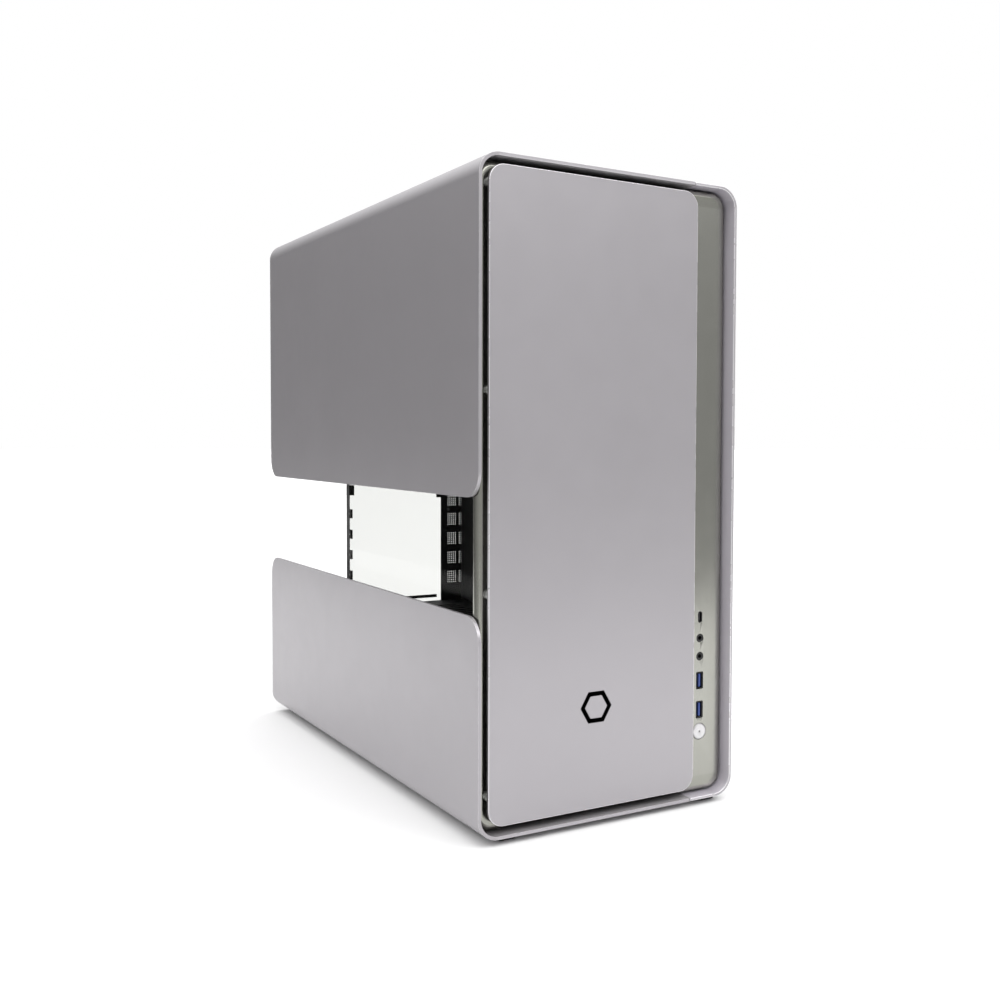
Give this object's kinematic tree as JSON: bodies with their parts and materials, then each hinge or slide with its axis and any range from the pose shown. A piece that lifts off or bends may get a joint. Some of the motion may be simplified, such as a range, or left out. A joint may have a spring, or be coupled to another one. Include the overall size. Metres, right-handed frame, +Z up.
{
  "type": "desktop computer tower",
  "caption": "Upright computer tower with a full-depth folded aluminium sleeve, a deep side slot, a floating front plate and front sockets.",
  "frame": {"origin": "on the ground under the middle of the tower", "axes": "+Z up, the front with the sockets faces -Y, the slotted side faces -X"},
  "size_m": [0.237, 0.526, 0.516],
  "materials": {
    "anodised_silver": "satin",
    "bezel_silver": "satin",
    "black_steel": "matte",
    "black_plastic": "matte",
    "black_rubber": "matte",
    "bright_steel": "satin",
    "circuit_board": "satin",
    "socket_blue": "gloss",
    "button_cap": "satin",
    "clear_glass": "gloss",
    "heatsink_aluminium": "satin",
    "brass_pillar": "satin",
    "drive_grey": "satin"
  },
  "bodies": {
    "chassis": {"shell_lower_left": "anodised_silver", "shell_right": "anodised_silver", "front_bezel": "bezel_silver", "front_plate": "anodised_silver", "plate_standoffs": "bright_steel", "front_emblem": "black_plastic", "feet": "black_rubber", "fixed_rails": "black_steel", "slide_rails": "bright_steel", "side_spacers": "black_rubber", "button_spring": "bright_steel", "button_switch": "black_plastic", "io_board": "circuit_board", "usb_c_port": "bright_steel", "audio_jacks": "black_plastic", "usb_a_shells": "bright_steel", "usb_a_tongues": "socket_blue", "front_frame": "black_steel", "rear_panel": "black_steel", "card_retainer": "black_steel", "board_tray": "black_steel", "shelf": "black_steel", "floor_panel": "black_steel", "roof_panel": "black_steel", "right_cover": "black_steel", "lower_skirt": "black_steel", "glass_channels": "black_plastic", "front_filter": "black_plastic", "filter_runners": "black_steel", "front_fan_frame_1": "black_plastic", "front_fan_frame_2": "black_plastic", "front_fan_frame_3": "black_plastic", "rear_fan_frame": "black_plastic", "psu_case": "black_steel", "psu_guard": "bright_steel", "psu_fan_frame": "black_plastic", "psu_board": "circuit_board", "psu_inlet": "black_plastic", "main_board": "circuit_board", "board_standoffs": "brass_pillar", "rear_io_ports": "bright_steel", "memory_modules": "black_plastic", "cpu_cooler": "heatsink_aluminium", "drive_bracket": "black_steel", "solid_state_drives": "drive_grey", "panel_cable": "black_plastic", "board_power_cable": "black_plastic", "case_screws": "bright_steel"},
    "upper_panel": {"shell_upper_left": "anodised_silver", "slide_tracks": "bright_steel"},
    "glass": {"side_glass": "clear_glass"},
    "filter_tray": {"bottom_filter": "black_plastic"},
    "button": {"power_button": "button_cap"},
    "front_rotor_1": {"front_fan_rotor_1": "black_plastic"},
    "front_rotor_2": {"front_fan_rotor_2": "black_plastic"},
    "front_rotor_3": {"front_fan_rotor_3": "black_plastic"},
    "rear_rotor": {"rear_fan_rotor": "black_plastic"},
    "psu_rotor": {"psu_fan_rotor": "black_plastic"},
    "cooler_rotor": {"cpu_fan_rotor": "black_plastic"},
    "mains_rocker": {"psu_switch": "black_plastic"}
  },
  "joints": [
    {"name": "power_button_push", "type": "slide", "parent": "chassis", "child": "button", "axis": [0, 1, 0], "range_m": [0, 0.0012], "stiffness_N_per_m": 600, "springref_m": -0.0015, "deforming": ["button_spring"]},
    {"name": "upper_panel_slide", "type": "slide", "parent": "chassis", "child": "upper_panel", "axis": [0, 1, 0], "range_m": [0, 0.3]},
    {"name": "glass_slide", "type": "slide", "parent": "chassis", "child": "glass", "axis": [0, 1, 0], "range_m": [0, 0.3]},
    {"name": "filter_slide", "type": "slide", "parent": "chassis", "child": "filter_tray", "axis": [0, 1, 0], "range_m": [0, 0.14]},
    {"name": "front_fan_1_spin", "type": "hinge", "parent": "chassis", "child": "front_rotor_1", "pos_m": [-0.0285, -0.2445, 0.201], "axis": [0, 1, 0], "continuous": true},
    {"name": "front_fan_2_spin", "type": "hinge", "parent": "chassis", "child": "front_rotor_2", "pos_m": [-0.0285, -0.2445, 0.321], "axis": [0, 1, 0], "continuous": true},
    {"name": "front_fan_3_spin", "type": "hinge", "parent": "chassis", "child": "front_rotor_3", "pos_m": [-0.0285, -0.2445, 0.441], "axis": [0, 1, 0], "continuous": true},
    {"name": "rear_fan_spin", "type": "hinge", "parent": "chassis", "child": "rear_rotor", "pos_m": [-0.0525, 0.08, 0.35], "axis": [0, 1, 0], "continuous": true},
    {"name": "psu_fan_spin", "type": "hinge", "parent": "chassis", "child": "psu_rotor", "pos_m": [-0.0015, 0.0164, 0.0202], "axis": [0, 0, 1], "continuous": true},
    {"name": "cooler_fan_spin", "type": "hinge", "parent": "chassis", "child": "cooler_rotor", "pos_m": [-0.0255, 0.022, 0.36], "axis": [1, 0, 0], "continuous": true},
    {"name": "mains_rocker_tip", "type": "hinge", "parent": "chassis", "child": "mains_rocker", "pos_m": [-0.0525, 0.0875, 0.042], "axis": [1, 0, 0], "range_deg": [0, 16]}
  ]
}
